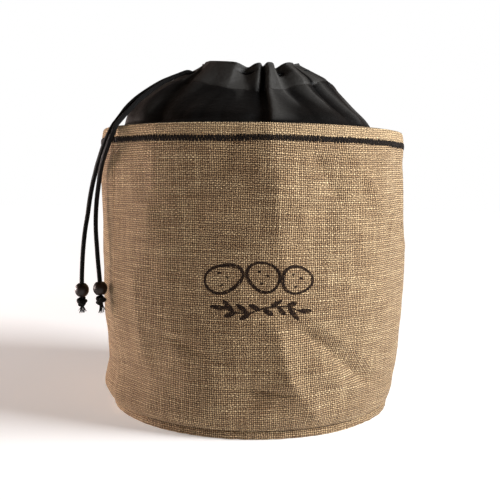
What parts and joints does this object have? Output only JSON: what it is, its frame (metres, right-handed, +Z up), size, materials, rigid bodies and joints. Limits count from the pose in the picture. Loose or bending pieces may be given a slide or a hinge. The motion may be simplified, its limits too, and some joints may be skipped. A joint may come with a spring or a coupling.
{
  "type": "potato storage bag",
  "caption": "Round free-standing hessian storage bag with a gathered drawstring top, beaded cord ends hanging at one side, and a flat round base.",
  "frame": {"origin": "centre of the base's underside, on the surface that the bag stands on", "axes": "+Z up through the neck, -Y towards the printed front, +X to the right as seen from the front"},
  "size_m": [0.2992, 0.2801, 0.3172],
  "materials": {
    "jute": "coarse plain-woven natural hessian",
    "black_cloth": "smooth woven polyester, slight sheen",
    "cord": "round braided cord, matt",
    "dark_wood": "turned wood, stained dark and waxed",
    "black_thread": "thick sewing thread",
    "print": "matt fabric ink"
  },
  "bodies": {
    "root": {"jute_wall": "jute", "jute_base": "jute", "drawstring_top": "black_cloth", "cord_loop": "cord", "cord_outer": "cord", "cord_inner": "cord", "bead_outer": "dark_wood", "bead_inner": "dark_wood", "knot_outer": "cord", "knot_inner": "cord"}
  },
  "joints": []
}
